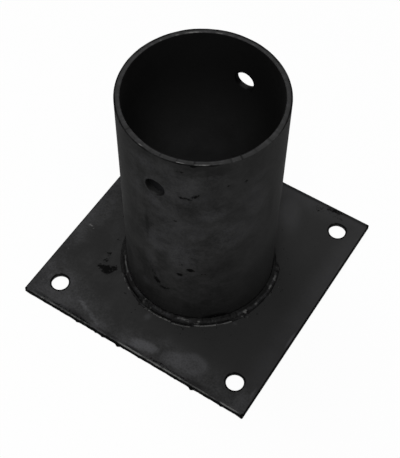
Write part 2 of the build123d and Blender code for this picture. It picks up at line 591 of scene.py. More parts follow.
@dataclass
class BasePlate:
    """Sheared plate with punched anchor holes. Sizes are in mm.

    Attributes:
        side: Length of each side.
        thickness: Thickness of the sheet.
        hole_spacing: Distance between anchor holes.
        hole_radius: Radius of an anchor hole.
        corner_radius: Rounding of the outline's corners.
        cut_inset: How far the cut face lies inside the torn foot of the ragged edge.
        break_height: Where the cut ends and the tear begins, above the underside.
        rollover_width: How far the shear's blade pulled the top face down.
        rollover_drop: How deep it pulled the arris down.
        arris: Rounding of the other edges.
        lip: Rounding of the holes where the punch went in.
        coat: How far the punch's wear and the dried paint narrow the holes.
        break_out: How much wider a hole is at the underside, where the slug tore out.
        patch: Half width of the square of mesh round each hole.
        column_step: Distance between the mesh's columns.
        row_step: Distance between its rows.
        punch_drift: How far each hole was punched off its place, from the one at -X -Y and round by +X.
        burrs: Crumbs on the ragged edge.
        stains: Dark oily spots on the top face, some of them drawn out along its edges; the long ones beside
            the ragged edge are painted shade on the slope of its rollover.
        pooled: Stretches of painted shade on the slope of the ragged edge's rollover.
        films: Smudges of pale dried film; the long narrow ones on the +X edge are painted highlights, and the
            wide soft ones at the corners, along the edges and beside the tube towards +X +Y are painted
            light.
        flecks: Bright scratches.
        glints: Painted highlights, partly worn paint, on stretches of the ragged edge's arris, along X.
    """

    side: float
    thickness: float
    hole_spacing: float
    hole_radius: float
    corner_radius: float = 0.6
    cut_inset: float = 0.3
    break_height: float = 1.2
    rollover_width: float = 2.4
    rollover_drop: float = 0.6
    arris: float = 0.2
    lip: float = 0.4
    coat: float = 0.45
    break_out: float = 0.7
    patch: float = 8.0
    column_step: float = 0.5
    row_step: float = 4 / 3
    punch_drift: tuple[tuple[float, float], ...] = ((0.2, -0.2), (0.7, 0.5), (0.5, 0.6), (0.3, 0.3))
    burrs: tuple[Burr, ...] = (
        Burr(-37.0, 0.5, 1.8), Burr(-24.0, 0.35, 1.2), Burr(-19.0, 0.6, 2.2), Burr(-8.3, 0.9, 2.6),
        Burr(6.0, 0.3, 1.4), Burr(41.6, 1.0, 2.4), Burr(30.5, 0.3, 1.2), Burr(61.0, 0.35, 1.5),
        Burr(74.0, 0.4, 2.4),
    )
    stains: tuple[Mark, ...] = (
        Mark(-45.8, -38.4, 6.2, 3.2, -10.0, 0.62), Mark(-41.5, -38.0, 7.0, 6.0, 0.0, 0.72),
        Mark(-38.4, -35.6, 5.0, 4.2, 60.0, 0.62), Mark(-45.4, -33.0, 5.4, 4.0, 20.0, 0.36),
        Mark(-46.7, -27.9, 4.0, 3.2, 0.0, 0.42), Mark(52.5, 73.0, 12.0, 3.2, 10.0, 0.55),
        Mark(43.0, 69.0, 10.0, 5.0, 30.0, 0.24), Mark(56.0, 69.5, 10.0, 3.0, 0.0, 0.22),
        Mark(-53.0, -72.9, 20.0, 1.6, -1.0, 0.42), Mark(-36.0, -73.2, 20.0, 1.6, -2.0, 0.42),
        Mark(17.0, -72.6, 20.0, 1.8, 1.0, 0.38), Mark(31.0, -73.2, 16.0, 1.6, -3.0, 0.38),
        Mark(46.0, -73.6, 20.0, 1.2, 0.0, 0.3),
    )
    pooled: tuple[Mark, ...] = (
        Mark(-46.0, -72.6, 22.0, 2.2, 0.0, 0.36), Mark(-40.5, -72.3, 15.0, 3.2, -2.0, 0.5),
        Mark(-16.0, -73.0, 16.0, 2.2, 0.0, 0.48), Mark(1.0, -73.1, 14.0, 1.8, 0.0, 0.6),
        Mark(42.5, -72.4, 15.0, 3.0, 0.0, 0.48), Mark(-65.0, -72.7, 12.0, 2.0, 2.0, 0.52),
    )
    films: tuple[Mark, ...] = (
        Mark(-39.3, -65.0, 13.0, 2.4, -23.0, 0.68), Mark(-28.8, -69.5, 12.0, 2.2, -23.0, 0.62),
        Mark(-35.0, -66.8, 20.0, 5.0, -22.0, 0.3), Mark(6.0, -68.0, 20.0, 7.0, 8.0, 0.66, 0.45),
        Mark(72.6, -60.0, 10.0, 1.6, 90.0, 0.5), Mark(73.7, 40.0, 10.0, 1.2, 90.0, 0.42),
        Mark(41.5, -28.0, 3.0, 2.4, 0.0, 0.34), Mark(-3.4, -51.4, 5.5, 4.2, 80.0, 0.36),
        Mark(24.8, -66.4, 20.0, 10.0, 10.0, 0.46, 0.3), Mark(35.0, -63.4, 18.5, 14.0, 10.0, 0.43, 0.3),
        Mark(14.0, -61.0, 11.0, 9.0, 20.0, 0.25), Mark(-67.4, -60.5, 9.0, 5.0, 60.0, 0.38),
        Mark(29.5, 57.5, 32.0, 15.0, -64.0, 0.3), Mark(-72.0, -68.0, 34.0, 28.0, 0.0, 0.36),
        Mark(-52.0, -62.0, 50.0, 22.0, -10.0, 0.27), Mark(73.6, -20.0, 13.0, 1.6, 90.0, 0.64),
        Mark(69.0, -68.0, 12.0, 16.0, 20.0, 0.3), Mark(-30.0, 74.0, 60.0, 10.0, 0.0, 0.25),
        Mark(55.5, -70.5, 9.0, 9.0, 0.0, 0.32),
    )
    flecks: tuple[Mark, ...] = (
        Mark(-72.2, -58.4, 2.4, 0.8, 60.0, 0.6), Mark(-69.8, -38.3, 2.4, 0.8, 80.0, 0.6),
        Mark(-69.2, -17.5, 2.8, 0.9, 20.0, 0.7), Mark(-67.4, -17.4, 2.6, 0.8, -10.0, 0.62),
        Mark(-65.7, -18.5, 2.6, 0.8, -50.0, 0.62), Mark(-31.0, -56.5, 2.2, 0.8, 30.0, 0.6),
        Mark(-67.0, -59.0, 2.2, 0.8, -20.0, 0.6), Mark(-69.0, -63.5, 2.4, 0.8, 40.0, 0.6),
    )
    glints: tuple[Glint, ...] = (
        Glint(1.0, 17.0), Glint(24.0, 30.0, 0.72), Glint(65.5, 13.0, 0.9), Glint(-45.0, 70.0, 0.48),
        Glint(46.0, 24.0, 0.6), Glint(56.0, 6.0, 0.6),
    )

    def top(self, x: np.ndarray, y: np.ndarray) -> np.ndarray:
        """Height of the top face.

        Args:
            x: Places along X.
            y: Places along Y.

        Returns:
            Heights above the underside, lower at the edges.
        """
        half = self.side / 2
        from_cut = np.maximum(y + half - self.cut_inset, 0)
        width = self.rollover_width * (1 + 0.35 * Wander(46.0, 3).at(x))
        drop = self.rollover_drop * (1 + 0.35 * Wander(30.0, 4, 4).at(x))
        ends = smoothstep(half - np.abs(x), 0.0, 4.0)
        rolled = (0.35 + 0.65 * ends) * drop * np.clip(1 - from_cut / width, 0, 1) ** 2.6
        from_edge = np.minimum(half - np.abs(x), half - y)
        plain = self.arris * np.clip(1 - from_edge / self.arris, 0, 1) ** 2
        return self.thickness - np.maximum(rolled, plain)

    def tear(self, x: np.ndarray) -> np.ndarray:
        """How far the torn foot of the ragged edge stands out past the cut face.

        Args:
            x: Places along the edge.

        Returns:
            Distances in mm.
        """
        reach = self.cut_inset * (0.8 + 0.4 * Wander(11.0, 7, 4).at(x))
        for burr in self.burrs:
            reach = reach + burr.reach * bell(x, burr.x, burr.width / 2)
        least = 0.05
        return np.maximum(reach, least)

    def round_corners(self, x: np.ndarray, y: np.ndarray) -> tuple[np.ndarray, np.ndarray]:
        """Pulls the corners of the square grid on to arcs.

        Args:
            x: Places along X.
            y: Places along Y.

        Returns:
            The moved places.
        """
        radius = self.corner_radius
        inner_x = self.side / 2 - radius
        low = -self.side / 2 + self.cut_inset + radius
        past_x = np.maximum(np.abs(x) - inner_x, 0)
        past_y = np.where(y > 0, np.maximum(y - inner_x, 0), np.maximum(low - y, 0))
        longest = np.maximum(past_x, past_y)
        diagonal = np.maximum(np.hypot(past_x, past_y), 1e-9)
        pull = np.where((past_x > 0) & (past_y > 0), longest / diagonal, 1.0)
        new_x = x - np.sign(x) * past_x * (1 - pull)
        new_y = y - np.where(y > 0, 1, -1) * past_y * (1 - pull)
        return new_x, new_y

    def lower(self, x: np.ndarray, y: np.ndarray) -> tuple[np.ndarray, np.ndarray]:
        """Moves places of the grid outwards where the foot of the edge is torn.

        Args:
            x: Places along X, on the grid.
            y: Places along Y, on the grid.

        Returns:
            The places on the underside.
        """
        new_x, new_y = self.round_corners(x, y)
        from_cut = y + self.side / 2 - self.cut_inset
        return new_x, new_y - self.tear(x) * smoothstep(from_cut, 3.0, 0.0)

    def skin(self, shell: Shell, lines_x: np.ndarray, lines_y: np.ndarray) -> None:
        """Adds the two faces, with a square gap at each hole.

        Args:
            shell: Where the faces go.
            lines_x: Columns of the grid.
            lines_y: Rows of the grid.
        """
        x, y = np.meshgrid(lines_x, lines_y)
        middle_x, middle_y = np.meshgrid((lines_x[1:] + lines_x[:-1]) / 2, (lines_y[1:] + lines_y[:-1]) / 2)
        off_x = np.abs(np.abs(middle_x) - self.hole_spacing / 2)
        off_y = np.abs(np.abs(middle_y) - self.hole_spacing / 2)
        keep = (off_x > self.patch) | (off_y > self.patch)
        top_x, top_y = self.round_corners(x, y)
        low_x, low_y = self.lower(x, y)
        shell.add_sheet(np.dstack([top_x, top_y, self.top(x, y)]), keep=keep)
        shell.add_sheet(np.dstack([low_x, low_y, np.zeros_like(x)]), keep=keep)

    def wall(self, shell: Shell, lines_x: np.ndarray, lines_y: np.ndarray) -> None:
        """Adds the cut faces round the outside, torn at the foot on the ragged side.

        Args:
            shell: Where the faces go.
            lines_x: Columns of the grid.
            lines_y: Rows of the grid.
        """
        x, y = ring_of(lines_x, lines_y).T
        top_x, top_y = self.round_corners(x, y)
        low_x, low_y = self.lower(x, y)
        top = self.top(x, y)
        split = self.break_height * (1 + 0.3 * Wander(9.0, 11, 4).at(x))

        # Each row: its height, how far it follows the tear, and how gritty it is
        steps = [(top, 0.0, 0.0), ((top + split) / 2, 0.0, 0.0), (split + 0.1, 0.05, 0.05),
                 (split - 0.15, 0.45, 0.05), (split / 2, 0.75, 0.05), (np.full_like(top, 0.12), 1.0, 0.0),
                 (np.zeros_like(top), 1.0, 0.0)]
        rng = np.random.default_rng(12)
        rows = []
        for height, share, roughness in steps:
            grit = roughness * rng.standard_normal(len(x)) if roughness else 0.0
            torn = np.clip(share + grit, 0, 1.2)
            moved = [top_x + (low_x - top_x) * torn, top_y + (low_y - top_y) * torn, height]
            rows.append(np.column_stack(moved))
        shell.add_sheet(np.stack(rows), loop=True)

    def hole_centres(self) -> list[tuple[np.ndarray, np.ndarray]]:
        """Returns the true place of each hole and the place where it was punched."""
        corners = np.array([(-1, -1), (1, -1), (1, 1), (-1, 1)]) * self.hole_spacing / 2
        return [(corner, corner + drift) for corner, drift in zip(corners, self.punch_drift)]

    def hole(self, shell: Shell, centre: np.ndarray, punched: np.ndarray, lines_x: np.ndarray,
             lines_y: np.ndarray) -> None:
        """Adds one punched hole and the square of plate round it.

        Args:
            shell: Where the faces go.
            centre: Middle of the square.
            punched: Middle of the hole.
            lines_x: Columns of the grid.
            lines_y: Rows of the grid.
        """
        near_x = between(lines_x, centre[0] - self.patch, centre[0] + self.patch)
        near_y = between(lines_y, centre[1] - self.patch, centre[1] + self.patch)
        square = ring_of(near_x, near_y)
        offset = square - punched
        outwards = offset / np.linalg.norm(offset, axis=1)[:, None]
        top = self.thickness

        # Each row: share of the way out to the square, how much wider than the hole, and height
        rows = [(1.0, 0.0, top), (0.6, self.lip, top), (0.3, self.lip, top), (0.1, self.lip, top)]
        for angle in np.radians([0, 18, 36, 54, 72, 90]):
            rows.append((0.0, self.lip * (1 - math.sin(angle)), top - self.lip * (1 - math.cos(angle))))
        torn = self.break_out
        rows += [(0.0, 0.0, top - self.lip - 0.15), (0.0, 0.1 * torn, top * 0.6),
                 (0.0, 0.6 * torn, top * 0.35), (0.0, 0.85 * torn, 0.15), (0.0, torn, 0.0),
                 (0.3, torn, 0.0), (1.0, 0.0, 0.0)]
        places = []
        for share, wider, height in rows:
            circle = punched + outwards * (self.hole_radius - self.coat + wider)
            flat = circle * (1 - share) + square * share
            places.append(np.column_stack([flat, np.full(len(flat), height)]))
        shell.add_sheet(np.stack(places), loop=True)

    def build(self) -> bpy.types.Object:
        """Builds the mesh and its fields.

        Returns:
            The plate.
        """
        half = self.side / 2

        # Distances from a plain edge and from the ragged one at which the mesh's lines crowd
        plain = (0.0, 0.07, 0.2, 0.5, 0.8, 1.2)
        ragged = (0.0, 0.08, 0.2, 0.36, 0.56, 0.8, 1.1, 1.5, 2.0, 2.7, 3.6)
        lines_x = graded_lines(-half, half, self.column_step, plain, plain)
        lines_y = graded_lines(-half + self.cut_inset, half, self.row_step, ragged, plain)
        shell = Shell()
        self.skin(shell, lines_x, lines_y)
        self.wall(shell, lines_x, lines_y)
        for centre, punched in self.hole_centres():
            self.hole(shell, centre, punched, lines_x, lines_y)
        plate = shell.make("plate")
        self.mark(plate)
        return plate

    def strongest(self, marks: tuple[Mark, ...], x: np.ndarray, y: np.ndarray) -> np.ndarray:
        """Returns the strongest of some marks at each place of the plate."""
        return np.max([mark.field(x - mark.x, y - mark.y) for mark in marks], axis=0)

    def from_hole(self, x: np.ndarray, y: np.ndarray) -> np.ndarray:
        """Returns how far places lie from the wall of the nearest hole."""
        nearest = np.min([np.hypot(x - at[0], y - at[1]) for _, at in self.hole_centres()], axis=0)
        return nearest - self.hole_radius + self.coat

    def mark(self, plate: bpy.types.Object) -> None:
        """Stores the paint's stains, film, thick paint, even coat and worn edges, with painted light, painted
        shade and painted highlights among them.

        Args:
            plate: The finished mesh.
        """
        x, y, z = vertex_places(plate)
        half = self.side / 2
        upper = smoothstep(z, self.thickness - 1.2, self.thickness - 0.8)
        store(plate, Field.STAIN, self.strongest(self.stains, x, y) * upper)
        store(plate, Field.CALM, 0.8 * smoothstep(x, -45.0, -5.0) * smoothstep(y, -62.0, -52.0))

        # Smudges; painted light that makes the plate paler towards its edges, away from the tube; and a
        # painted highlight along the edge at +X
        edge_light = 0.27 * smoothstep(np.minimum(half - np.abs(x), half - np.abs(y)), 20.0, 3.0)
        x_edge_highlight = bell(half - x, 1.4, 0.5) * (0.22 + 0.2 * Wander(14.0, 17, 4).at(y))
        films = np.max([self.strongest(self.films, x, y), edge_light, x_edge_highlight], axis=0)
        store(plate, Field.FILM_AND_LIGHT, films * upper)

        # Painted shade on the cut walls and in a ring round each hole's lip, dark lines along the other
        # arrises, painted shade on the ragged edge's rollover, and dark paint on the four corners
        from_side = np.minimum(half - np.abs(x), half - y)
        from_hole = self.from_hole(x, y)
        walls = smoothstep(z, self.thickness - 0.3, self.thickness - 0.5)
        edge_lines_and_hole_shade = np.maximum(smoothstep(from_side, 0.75, 0.4), smoothstep(from_hole, 1.0, 0.75))
        edge_lines_and_hole_shade = np.maximum(edge_lines_and_hole_shade, 0.9 * bell(half - y, 1.5, 0.5) * upper)
        rollover_shade = self.strongest(self.pooled, x, y) * upper
        corner = smoothstep(np.hypot(half - np.abs(x), half - np.abs(y)), 2.4, 1.2)

        # The painted shade is weaker on the holes' walls, most of all in the two at -Y, so they look lighter
        in_hole = (from_hole < 1.0) * smoothstep(z, self.thickness - 0.15, self.thickness - 0.35)
        hole_wall_shade_share = np.where(from_hole < 1, 1 - np.where(y > 0, 0.5, 0.9) * in_hole, 0.95)
        thick = [walls * hole_wall_shade_share, edge_lines_and_hole_shade * (1 - in_hole), rollover_shade, corner]
        store(plate, Field.THICK, np.max(thick, axis=0))

        # Painted highlights, partly worn paint, on stretches of the ragged edge's arris; scratches; and
        # painted light on the lower half of the holes' walls
        from_cut = y + half - self.cut_inset
        arris = smoothstep(from_cut, 1.3, 0.8) * smoothstep(from_cut, 0.05, 0.25) * upper
        glints = np.max([glint.field(x - glint.place) for glint in self.glints], axis=0)
        flecks = self.strongest(self.flecks, x, y) * upper
        low = smoothstep(z, self.thickness * 0.7, self.thickness * 0.5)
        hole_wall_light = in_hole * low * np.where(y > 0, 0.5, 0.75)
        store(plate, Field.WEAR_AND_HIGHLIGHT, np.max([glints * arris * (1 - corner), flecks, hole_wall_light], axis=0))

    def dress(self, plate: bpy.types.Object) -> None:
        """Paints the plate and fastens it in place of the imported plate."""
        plate.data.materials.append(PLATE_PAINT.material())
        fasten(plate, "plate_coating", "base_plate")


@dataclass
class PostSleeve:
    """Sawn tube with the cross hole drilled through both walls. Sizes are in mm.

    Attributes:
        outer: Outer radius.
        inner: Radius of the bore.
        foot: Height of its lower end.
        top: Height of its rim.
        cross_height: Height of the cross hole's axis.
        cross_radius: Radius of the cross hole.
        steps: Columns of mesh round the tube.
        patch_steps: Columns from the cross hole's axis to the side of its square of mesh.
        patch: Half height of that square.
        arris: Size of the rounded arrises at the rim.
        drill_break: Rounding of the drilled edge.
        low_side: Where the sawn end is lowest, in degrees from +X.
        saw_drop: How far the middle of the sawn end lies below its true height.
        saw_slant: How far its low side lies below its middle.
        near_drift: How far the drill went off towards +X and up in the wall at -Y.
        far_drift: The same in the wall at +Y.
        nick_place: Where a knock dented the outer arris, in degrees from +X.
        nick_depth: How deep the dent is.
        nick_width: Its half width, in degrees.
        arris_range: Least and greatest size of the arrises elsewhere.
        rim_wave: Height of the saw's waves on the rim.
        stains: Dark oily spots on the outside, at degrees from +X and heights.
        pooled: Places where the paint stayed thick, at degrees and heights; the wide ones low on the tube are
            painted shade.
        films: Smudges of pale dried film, at degrees and heights.
        glints: Painted highlights, partly worn paint, on stretches of the outer arris, at degrees.
        inner_glints: Painted highlights, partly worn paint, on stretches of the inner arris, at degrees.
    """

    outer: float
    inner: float
    foot: float
    top: float
    cross_height: float
    cross_radius: float
    steps: int = 540
    patch_steps: int = 16
    patch: float = 8.0
    arris: float = 0.4
    drill_break: float = 0.3
    low_side: float = -58.0
    saw_drop: float = 0.25
    saw_slant: float = 0.45
    near_drift: tuple[float, float] = (0.0, 0.5)
    far_drift: tuple[float, float] = (0.6, -1.0)
    nick_place: float = 295.5
    nick_depth: float = 0.45
    nick_width: float = 2.2
    arris_range: tuple[float, float] = (0.15, 0.65)
    rim_wave: float = 0.06
    stains: tuple[Mark, ...] = (
        Mark(-65.3, 56.6, 4.2, 2.6, -10.0, 1.0), Mark(-72.9, 50.5, 3.6, 2.2),
        Mark(-56.0, 53.1, 3.6, 2.0, 0.0, 0.4), Mark(-91.5, 35.6, 6.0, 3.4, -65.0, 0.8),
        Mark(-94.5, 42.5, 8.0, 2.4, -55.0, 0.34), Mark(-85.5, 30.8, 6.5, 2.4, 15.0, 0.62),
        Mark(-70.5, 122.3, 5.0, 2.2, 5.0, 0.55), Mark(-66.0, 121.8, 3.6, 2.0, -25.0, 0.5),
        Mark(-62.0, 124.6, 5.0, 2.2, 35.0, 0.6), Mark(-72.0, 143.3, 3.8, 2.8, 0.0, 0.45),
        Mark(-29.0, 130.6, 2.6, 3.0, 0.0, 0.5), Mark(-41.0, 131.3, 3.0, 2.4, 0.0, 0.35),
        Mark(-70.0, 133.8, 2.6, 1.4, 0.0, 0.35), Mark(-75.5, 101.0, 2.6, 2.0, 0.0, 0.35),
        Mark(-71.5, 60.5, 5.0, 1.6, 15.0, 0.4), Mark(-63.8, 149.2, 3.4, 1.0, 0.0, 0.8),
    )
    pooled: tuple[Mark, ...] = (
        Mark(-52.0, 126.0, 14.0, 12.0, 20.0, 0.36), Mark(-61.0, 93.0, 14.0, 8.0, 0.0, 0.3),
        Mark(-22.0, 114.0, 12.0, 9.0, 0.0, 0.3), Mark(-98.0, 88.0, 3.0, 22.0, 0.0, 0.5),
        Mark(-44.0, 56.0, 22.0, 28.0, 0.0, 0.36), Mark(-35.0, 45.0, 16.0, 14.0, 0.0, 0.34),
        Mark(-40.0, 130.0, 8.0, 6.0, 0.0, 0.3), Mark(-3.0, 94.0, 6.0, 36.0, 0.0, 0.28),
        Mark(-46.0, 6.0, 18.0, 6.0, 0.0, 0.95), Mark(-66.0, 4.5, 22.0, 4.0, 0.0, 0.7),
        Mark(2.0, 28.0, 54.0, 56.0, 0.0, 0.42), Mark(-42.0, 24.0, 40.0, 40.0, 0.0, 0.36),
    )
    films: tuple[Mark, ...] = (
        Mark(-72.0, 71.0, 18.0, 24.0, 0.0, 0.47), Mark(-92.0, 112.0, 12.0, 8.0, -25.0, 0.45),
        Mark(-88.0, 78.0, 17.0, 22.0, 0.0, 0.46), Mark(-108.0, 118.0, 10.0, 26.0, 0.0, 0.3),
        Mark(-50.0, 140.0, 10.0, 6.0, 0.0, 0.28), Mark(-96.0, 52.0, 8.0, 20.0, 0.0, 0.28),
        Mark(-70.0, 48.0, 9.0, 8.0, 0.0, 0.32), Mark(-102.0, 27.0, 6.0, 12.0, 0.0, 0.32),
        Mark(-53.0, 109.0, 18.0, 11.0, 0.0, 0.32), Mark(-18.0, 129.0, 12.0, 8.0, 0.0, 0.28),
        Mark(-88.0, 78.0, 2.4, 14.0, 10.0, 0.34), Mark(-91.0, 44.0, 2.6, 16.0, 8.0, 0.28),
        Mark(-97.0, 139.0, 16.0, 12.0, 0.0, 0.38), Mark(-34.0, 88.0, 26.0, 22.0, 20.0, 0.34),
        Mark(-60.0, 92.0, 14.0, 10.0, 30.0, 0.38), Mark(-20.0, 110.0, 16.0, 30.0, 0.0, 0.3),
        Mark(-72.0, 125.0, 34.0, 34.0, 0.0, 0.3), Mark(-80.0, 96.0, 26.0, 26.0, 0.0, 0.26),
    )
    glints: tuple[Glint, ...] = (
        Glint(-100.5, 3.2), Glint(-84.0, 2.0, 0.5), Glint(-72.3, 4.4), Glint(-57.0, 8.4),
        Glint(-50.5, 3.0, 0.6), Glint(-46.8, 1.6, 0.8), Glint(-33.5, 2.0, 0.5), Glint(-27.0, 2.0, 0.45),
        Glint(-16.0, 2.0, 0.45),
    )
    inner_glints: tuple[Glint, ...] = (
        Glint(85.0, 12.0, 0.45), Glint(100.0, 12.0, 0.45), Glint(111.0, 5.5, 0.7), Glint(119.5, 3.0, 0.6),
        Glint(129.5, 9.0), Glint(141.0, 3.0, 0.7), Glint(153.8, 1.6, 0.7), Glint(165.0, 16.0, 0.45),
    )

    def angles(self) -> np.ndarray:
        """Returns the angle of each column from +X, in radians."""
        return np.arange(self.steps) * 2 * math.pi / self.steps

    def girth(self) -> float:
        """Returns the length once round the outside."""
        return 2 * math.pi * self.outer

    def arc(self, degrees: np.ndarray, start: float) -> np.ndarray:
        """Returns how far angles lie from a start round the outside, in mm."""
        return np.radians(turned(degrees, start)) * self.outer

    def rows(self, below: int, above: int) -> np.ndarray:
        """Heights of the rows of one wall.

        Args:
            below: Steps from the foot to the cross hole's square.
            above: Steps from there to just under the rim.

        Returns:
            The heights, with the square's own rows a millimetre apart.
        """
        low = self.cross_height - self.patch
        high = self.cross_height + self.patch
        shoulder = self.top - 1.0
        return np.concatenate([
            np.linspace(self.foot, low, below, endpoint=False),
            np.arange(low, high, 1.0),
            np.linspace(high, shoulder, above),
            (self.top - 0.7, self.top),
        ])

    def arris_size(self, seed: int, nick: float = 0.0) -> np.ndarray:
        """Size of the rounded arris at the rim, uneven as a file leaves it.

        Args:
            seed: Fixes the unevenness.
            nick: How much larger it is at the dent.

        Returns:
            Sizes in mm, one for each column.
        """
        angles = self.angles()
        size = self.arris * (1 + 0.45 * Wander(34.0, seed, 4).at(angles * self.outer, self.girth()))
        dent = nick * bell(np.degrees(angles), self.nick_place, self.nick_width)
        return np.clip(size, *self.arris_range) + dent

    def wall(self, shell: Shell, radius: float, heights: np.ndarray, arris: np.ndarray) -> None:
        """Adds the outer or the inner wall, with a square gap at each side for the cross hole.

        Args:
            shell: Where the faces go.
            radius: Radius of the wall.
            heights: Heights of its rows.
            arris: How far below the rim it ends, at each column.
        """
        angle, height = np.meshgrid(self.angles(), heights)
        height[-1] = self.top - arris
        column = np.arange(self.steps)
        quarter = self.steps // 4
        near_hole = np.zeros(self.steps, dtype=bool)
        for axis in (quarter, 3 * quarter):
            near_hole |= (column >= axis - self.patch_steps) & (column < axis + self.patch_steps)
        middle = (heights[1:] + heights[:-1]) / 2
        keep = ~near_hole[None, :] | (np.abs(middle - self.cross_height) > self.patch)[:, None]
        shell.add_sheet(on_circle(radius, angle, height), loop=True, keep=keep)

    def hole(self, shell: Shell, side: int) -> None:
        """Adds the cross hole in one wall and the square of wall round it.

        Args:
            shell: Where the faces go.
            side: 1 for the hole at +Y, -1 for the one at -Y.
        """
        spread = np.arange(-self.patch_steps, self.patch_steps + 1) * 2 * math.pi / self.steps
        heights = np.arange(-self.patch, self.patch + 0.5, 1.0)
        square = ring_of(spread, heights)
        first = np.column_stack([self.outer * np.sin(square[:, 0]), square[:, 1]])
        outwards = first / np.linalg.norm(first, axis=1)[:, None]
        wide = self.drill_break

        # Each row: share of the way out to the square, how much wider than the hole, and radius of the tube
        rows = [(share, wide, self.outer) for share in (1.0, 0.6, 0.3, 0.1)]
        for angle in np.radians([0, 22, 45, 68, 90]):
            rows.append((0.0, wide * (1 - math.sin(angle)), self.outer - wide * (1 - math.cos(angle))))
        rows += [(0.0, 0.0, (self.outer + self.inner) / 2), (0.0, 0.0, self.inner + 0.15)]
        rows += [(share, 0.15, self.inner) for share in (0.0, 0.3, 1.0)]
        places = []
        for share, wider, radius in rows:
            edge = np.column_stack([radius * np.sin(square[:, 0]), square[:, 1]])
            flat = outwards * (self.cross_radius + wider) * (1 - share) + edge * share
            depth = side * np.sqrt(radius**2 - flat[:, 0] ** 2)
            places.append(np.column_stack([flat[:, 0], depth, self.cross_height + flat[:, 1]]))
        shell.add_sheet(np.stack(places), loop=True)

    def rim(self, shell: Shell, outer_arris: np.ndarray, inner_arris: np.ndarray) -> None:
        """Adds the sawn rim and the flat foot.

        Args:
            shell: Where the faces go.
            outer_arris: Size of the outer arris at each column.
            inner_arris: Size of the inner arris at each column.
        """
        angle = self.angles()
        wave = self.rim_wave * Wander(60.0, 31, 4).at(angle * self.outer, self.girth())

        # Radius and height of each row, from the outside over both arrises to the bore
        bends = [(1 - math.cos(turn), 1 - math.sin(turn)) for turn in np.radians([0, 22, 45, 68, 90])]
        section = [(self.outer - outer_arris * inset, self.top - outer_arris * drop) for inset, drop in bends]
        section += [(self.outer - inset, self.top) for inset in (0.7, 0.9, 1.1, 1.4, 1.8, 2.2)]
        section += [(self.inner + inner_arris * inset, self.top - inner_arris * drop)
                    for inset, drop in reversed(bends)]
        rows = []
        for number, (radius, height) in enumerate(section):
            lift = wave * min(number, len(section) - 1 - number, 4) / 4 - self.rim_wave
            rows.append(on_circle(radius, angle, height + lift))
        for row, arris in ((rows[0], outer_arris), (rows[-1], inner_arris)):
            row[:, 2] = self.top - arris
        shell.add_sheet(np.stack(rows), loop=True)
        ring = [on_circle(radius, angle, self.foot) for radius in (self.outer, self.inner)]
        shell.add_sheet(np.stack(ring), loop=True)

    def strongest(self, marks: tuple[Mark, ...], degrees: np.ndarray, height: np.ndarray) -> np.ndarray:
        """Returns the strongest of some marks at each place of the tube's outside."""
        return np.max([mark.field(self.arc(degrees, mark.x), height - mark.y) for mark in marks], axis=0)

    def rubbed_and_highlight(self, glints: tuple[Glint, ...], degrees: np.ndarray) -> np.ndarray:
        """Returns the strongest of some glints at each place of the rim."""
        return np.max([glint.field(self.arc(degrees, glint.place)) for glint in glints], axis=0)

    def settle(self, tube: bpy.types.Object) -> None:
        """Moves the rim and the cross holes to where the saw and the drill went, up to a millimetre off.

        Args:
            tube: The finished mesh, true to size.
        """
        x, y, z = vertex_places(tube)
        angle = np.arctan2(y, x)
        radius = np.hypot(x, y)
        lean = np.cos(angle - math.radians(self.low_side))
        sawn = smoothstep(z, self.cross_height + self.patch, self.top - 1.5)
        from_axis = np.hypot(x, z - self.cross_height)
        drilled = smoothstep(from_axis, 3 * self.cross_radius, self.cross_radius + 0.5)
        drift = [np.where(y > 0, far, near) for far, near in zip(self.far_drift, self.near_drift)]
        angle = angle - drilled * drift[0] / radius * np.sign(y)
        height = z - sawn * (self.saw_drop + self.saw_slant * lean) + drilled * drift[1]
        moved = on_circle(radius, angle, height) * MM
        tube.data.vertices.foreach_set("co", moved.ravel())
        tube.data.update()

    def build(self) -> bpy.types.Object:
        """Builds the mesh and its fields.

        Returns:
            The tube.
        """
        outer_arris = self.arris_size(seed=21, nick=self.nick_depth)
        inner_arris = self.arris_size(seed=22)
        shell = Shell()
        self.wall(shell, self.outer, self.rows(below=84, above=14), outer_arris)
        self.wall(shell, self.inner, self.rows(below=14, above=3), inner_arris)
        for side in (1, -1):
            self.hole(shell, side)
        self.rim(shell, outer_arris, inner_arris)
        tube = shell.make("tube")
        self.mark(tube)
        self.settle(tube)
        return tube

    def rim_film(self, degrees: np.ndarray, radius: np.ndarray, height: np.ndarray) -> np.ndarray:
        """Film that makes the sawn rim pale, with a paler line near the bore.

        Args:
            degrees: Angles from +X.
            radius: Distances from the tube's axis.
            height: Heights above the plate's underside.

        Returns:
            Its strength at each place.
        """
        uneven = Wander(9.0, 35, 4).at(np.radians(degrees % 360) * self.outer, self.girth())
        line = bell(radius - self.inner, 0.9, 0.35)
        return (0.14 + 0.14 * uneven + 0.14 * line) * smoothstep(height, self.top - 0.4, self.top - 0.2)

    def rim_thick(self, degrees: np.ndarray, radius: np.ndarray, height: np.ndarray) -> np.ndarray:
        """Darker paint on the rim: dark lines along its arrises and short streaks across it.

        Args:
            degrees: Angles from +X.
            radius: Distances from the tube's axis.
            height: Heights above the plate's underside.

        Returns:
            Its strength at each place.
        """
        around = np.radians(degrees % 360) * self.outer
        on_top = smoothstep(height, self.top - 0.4, self.top - 0.2)
        from_outer = radius - self.outer
        from_front = np.abs(turned(degrees, self.low_side))

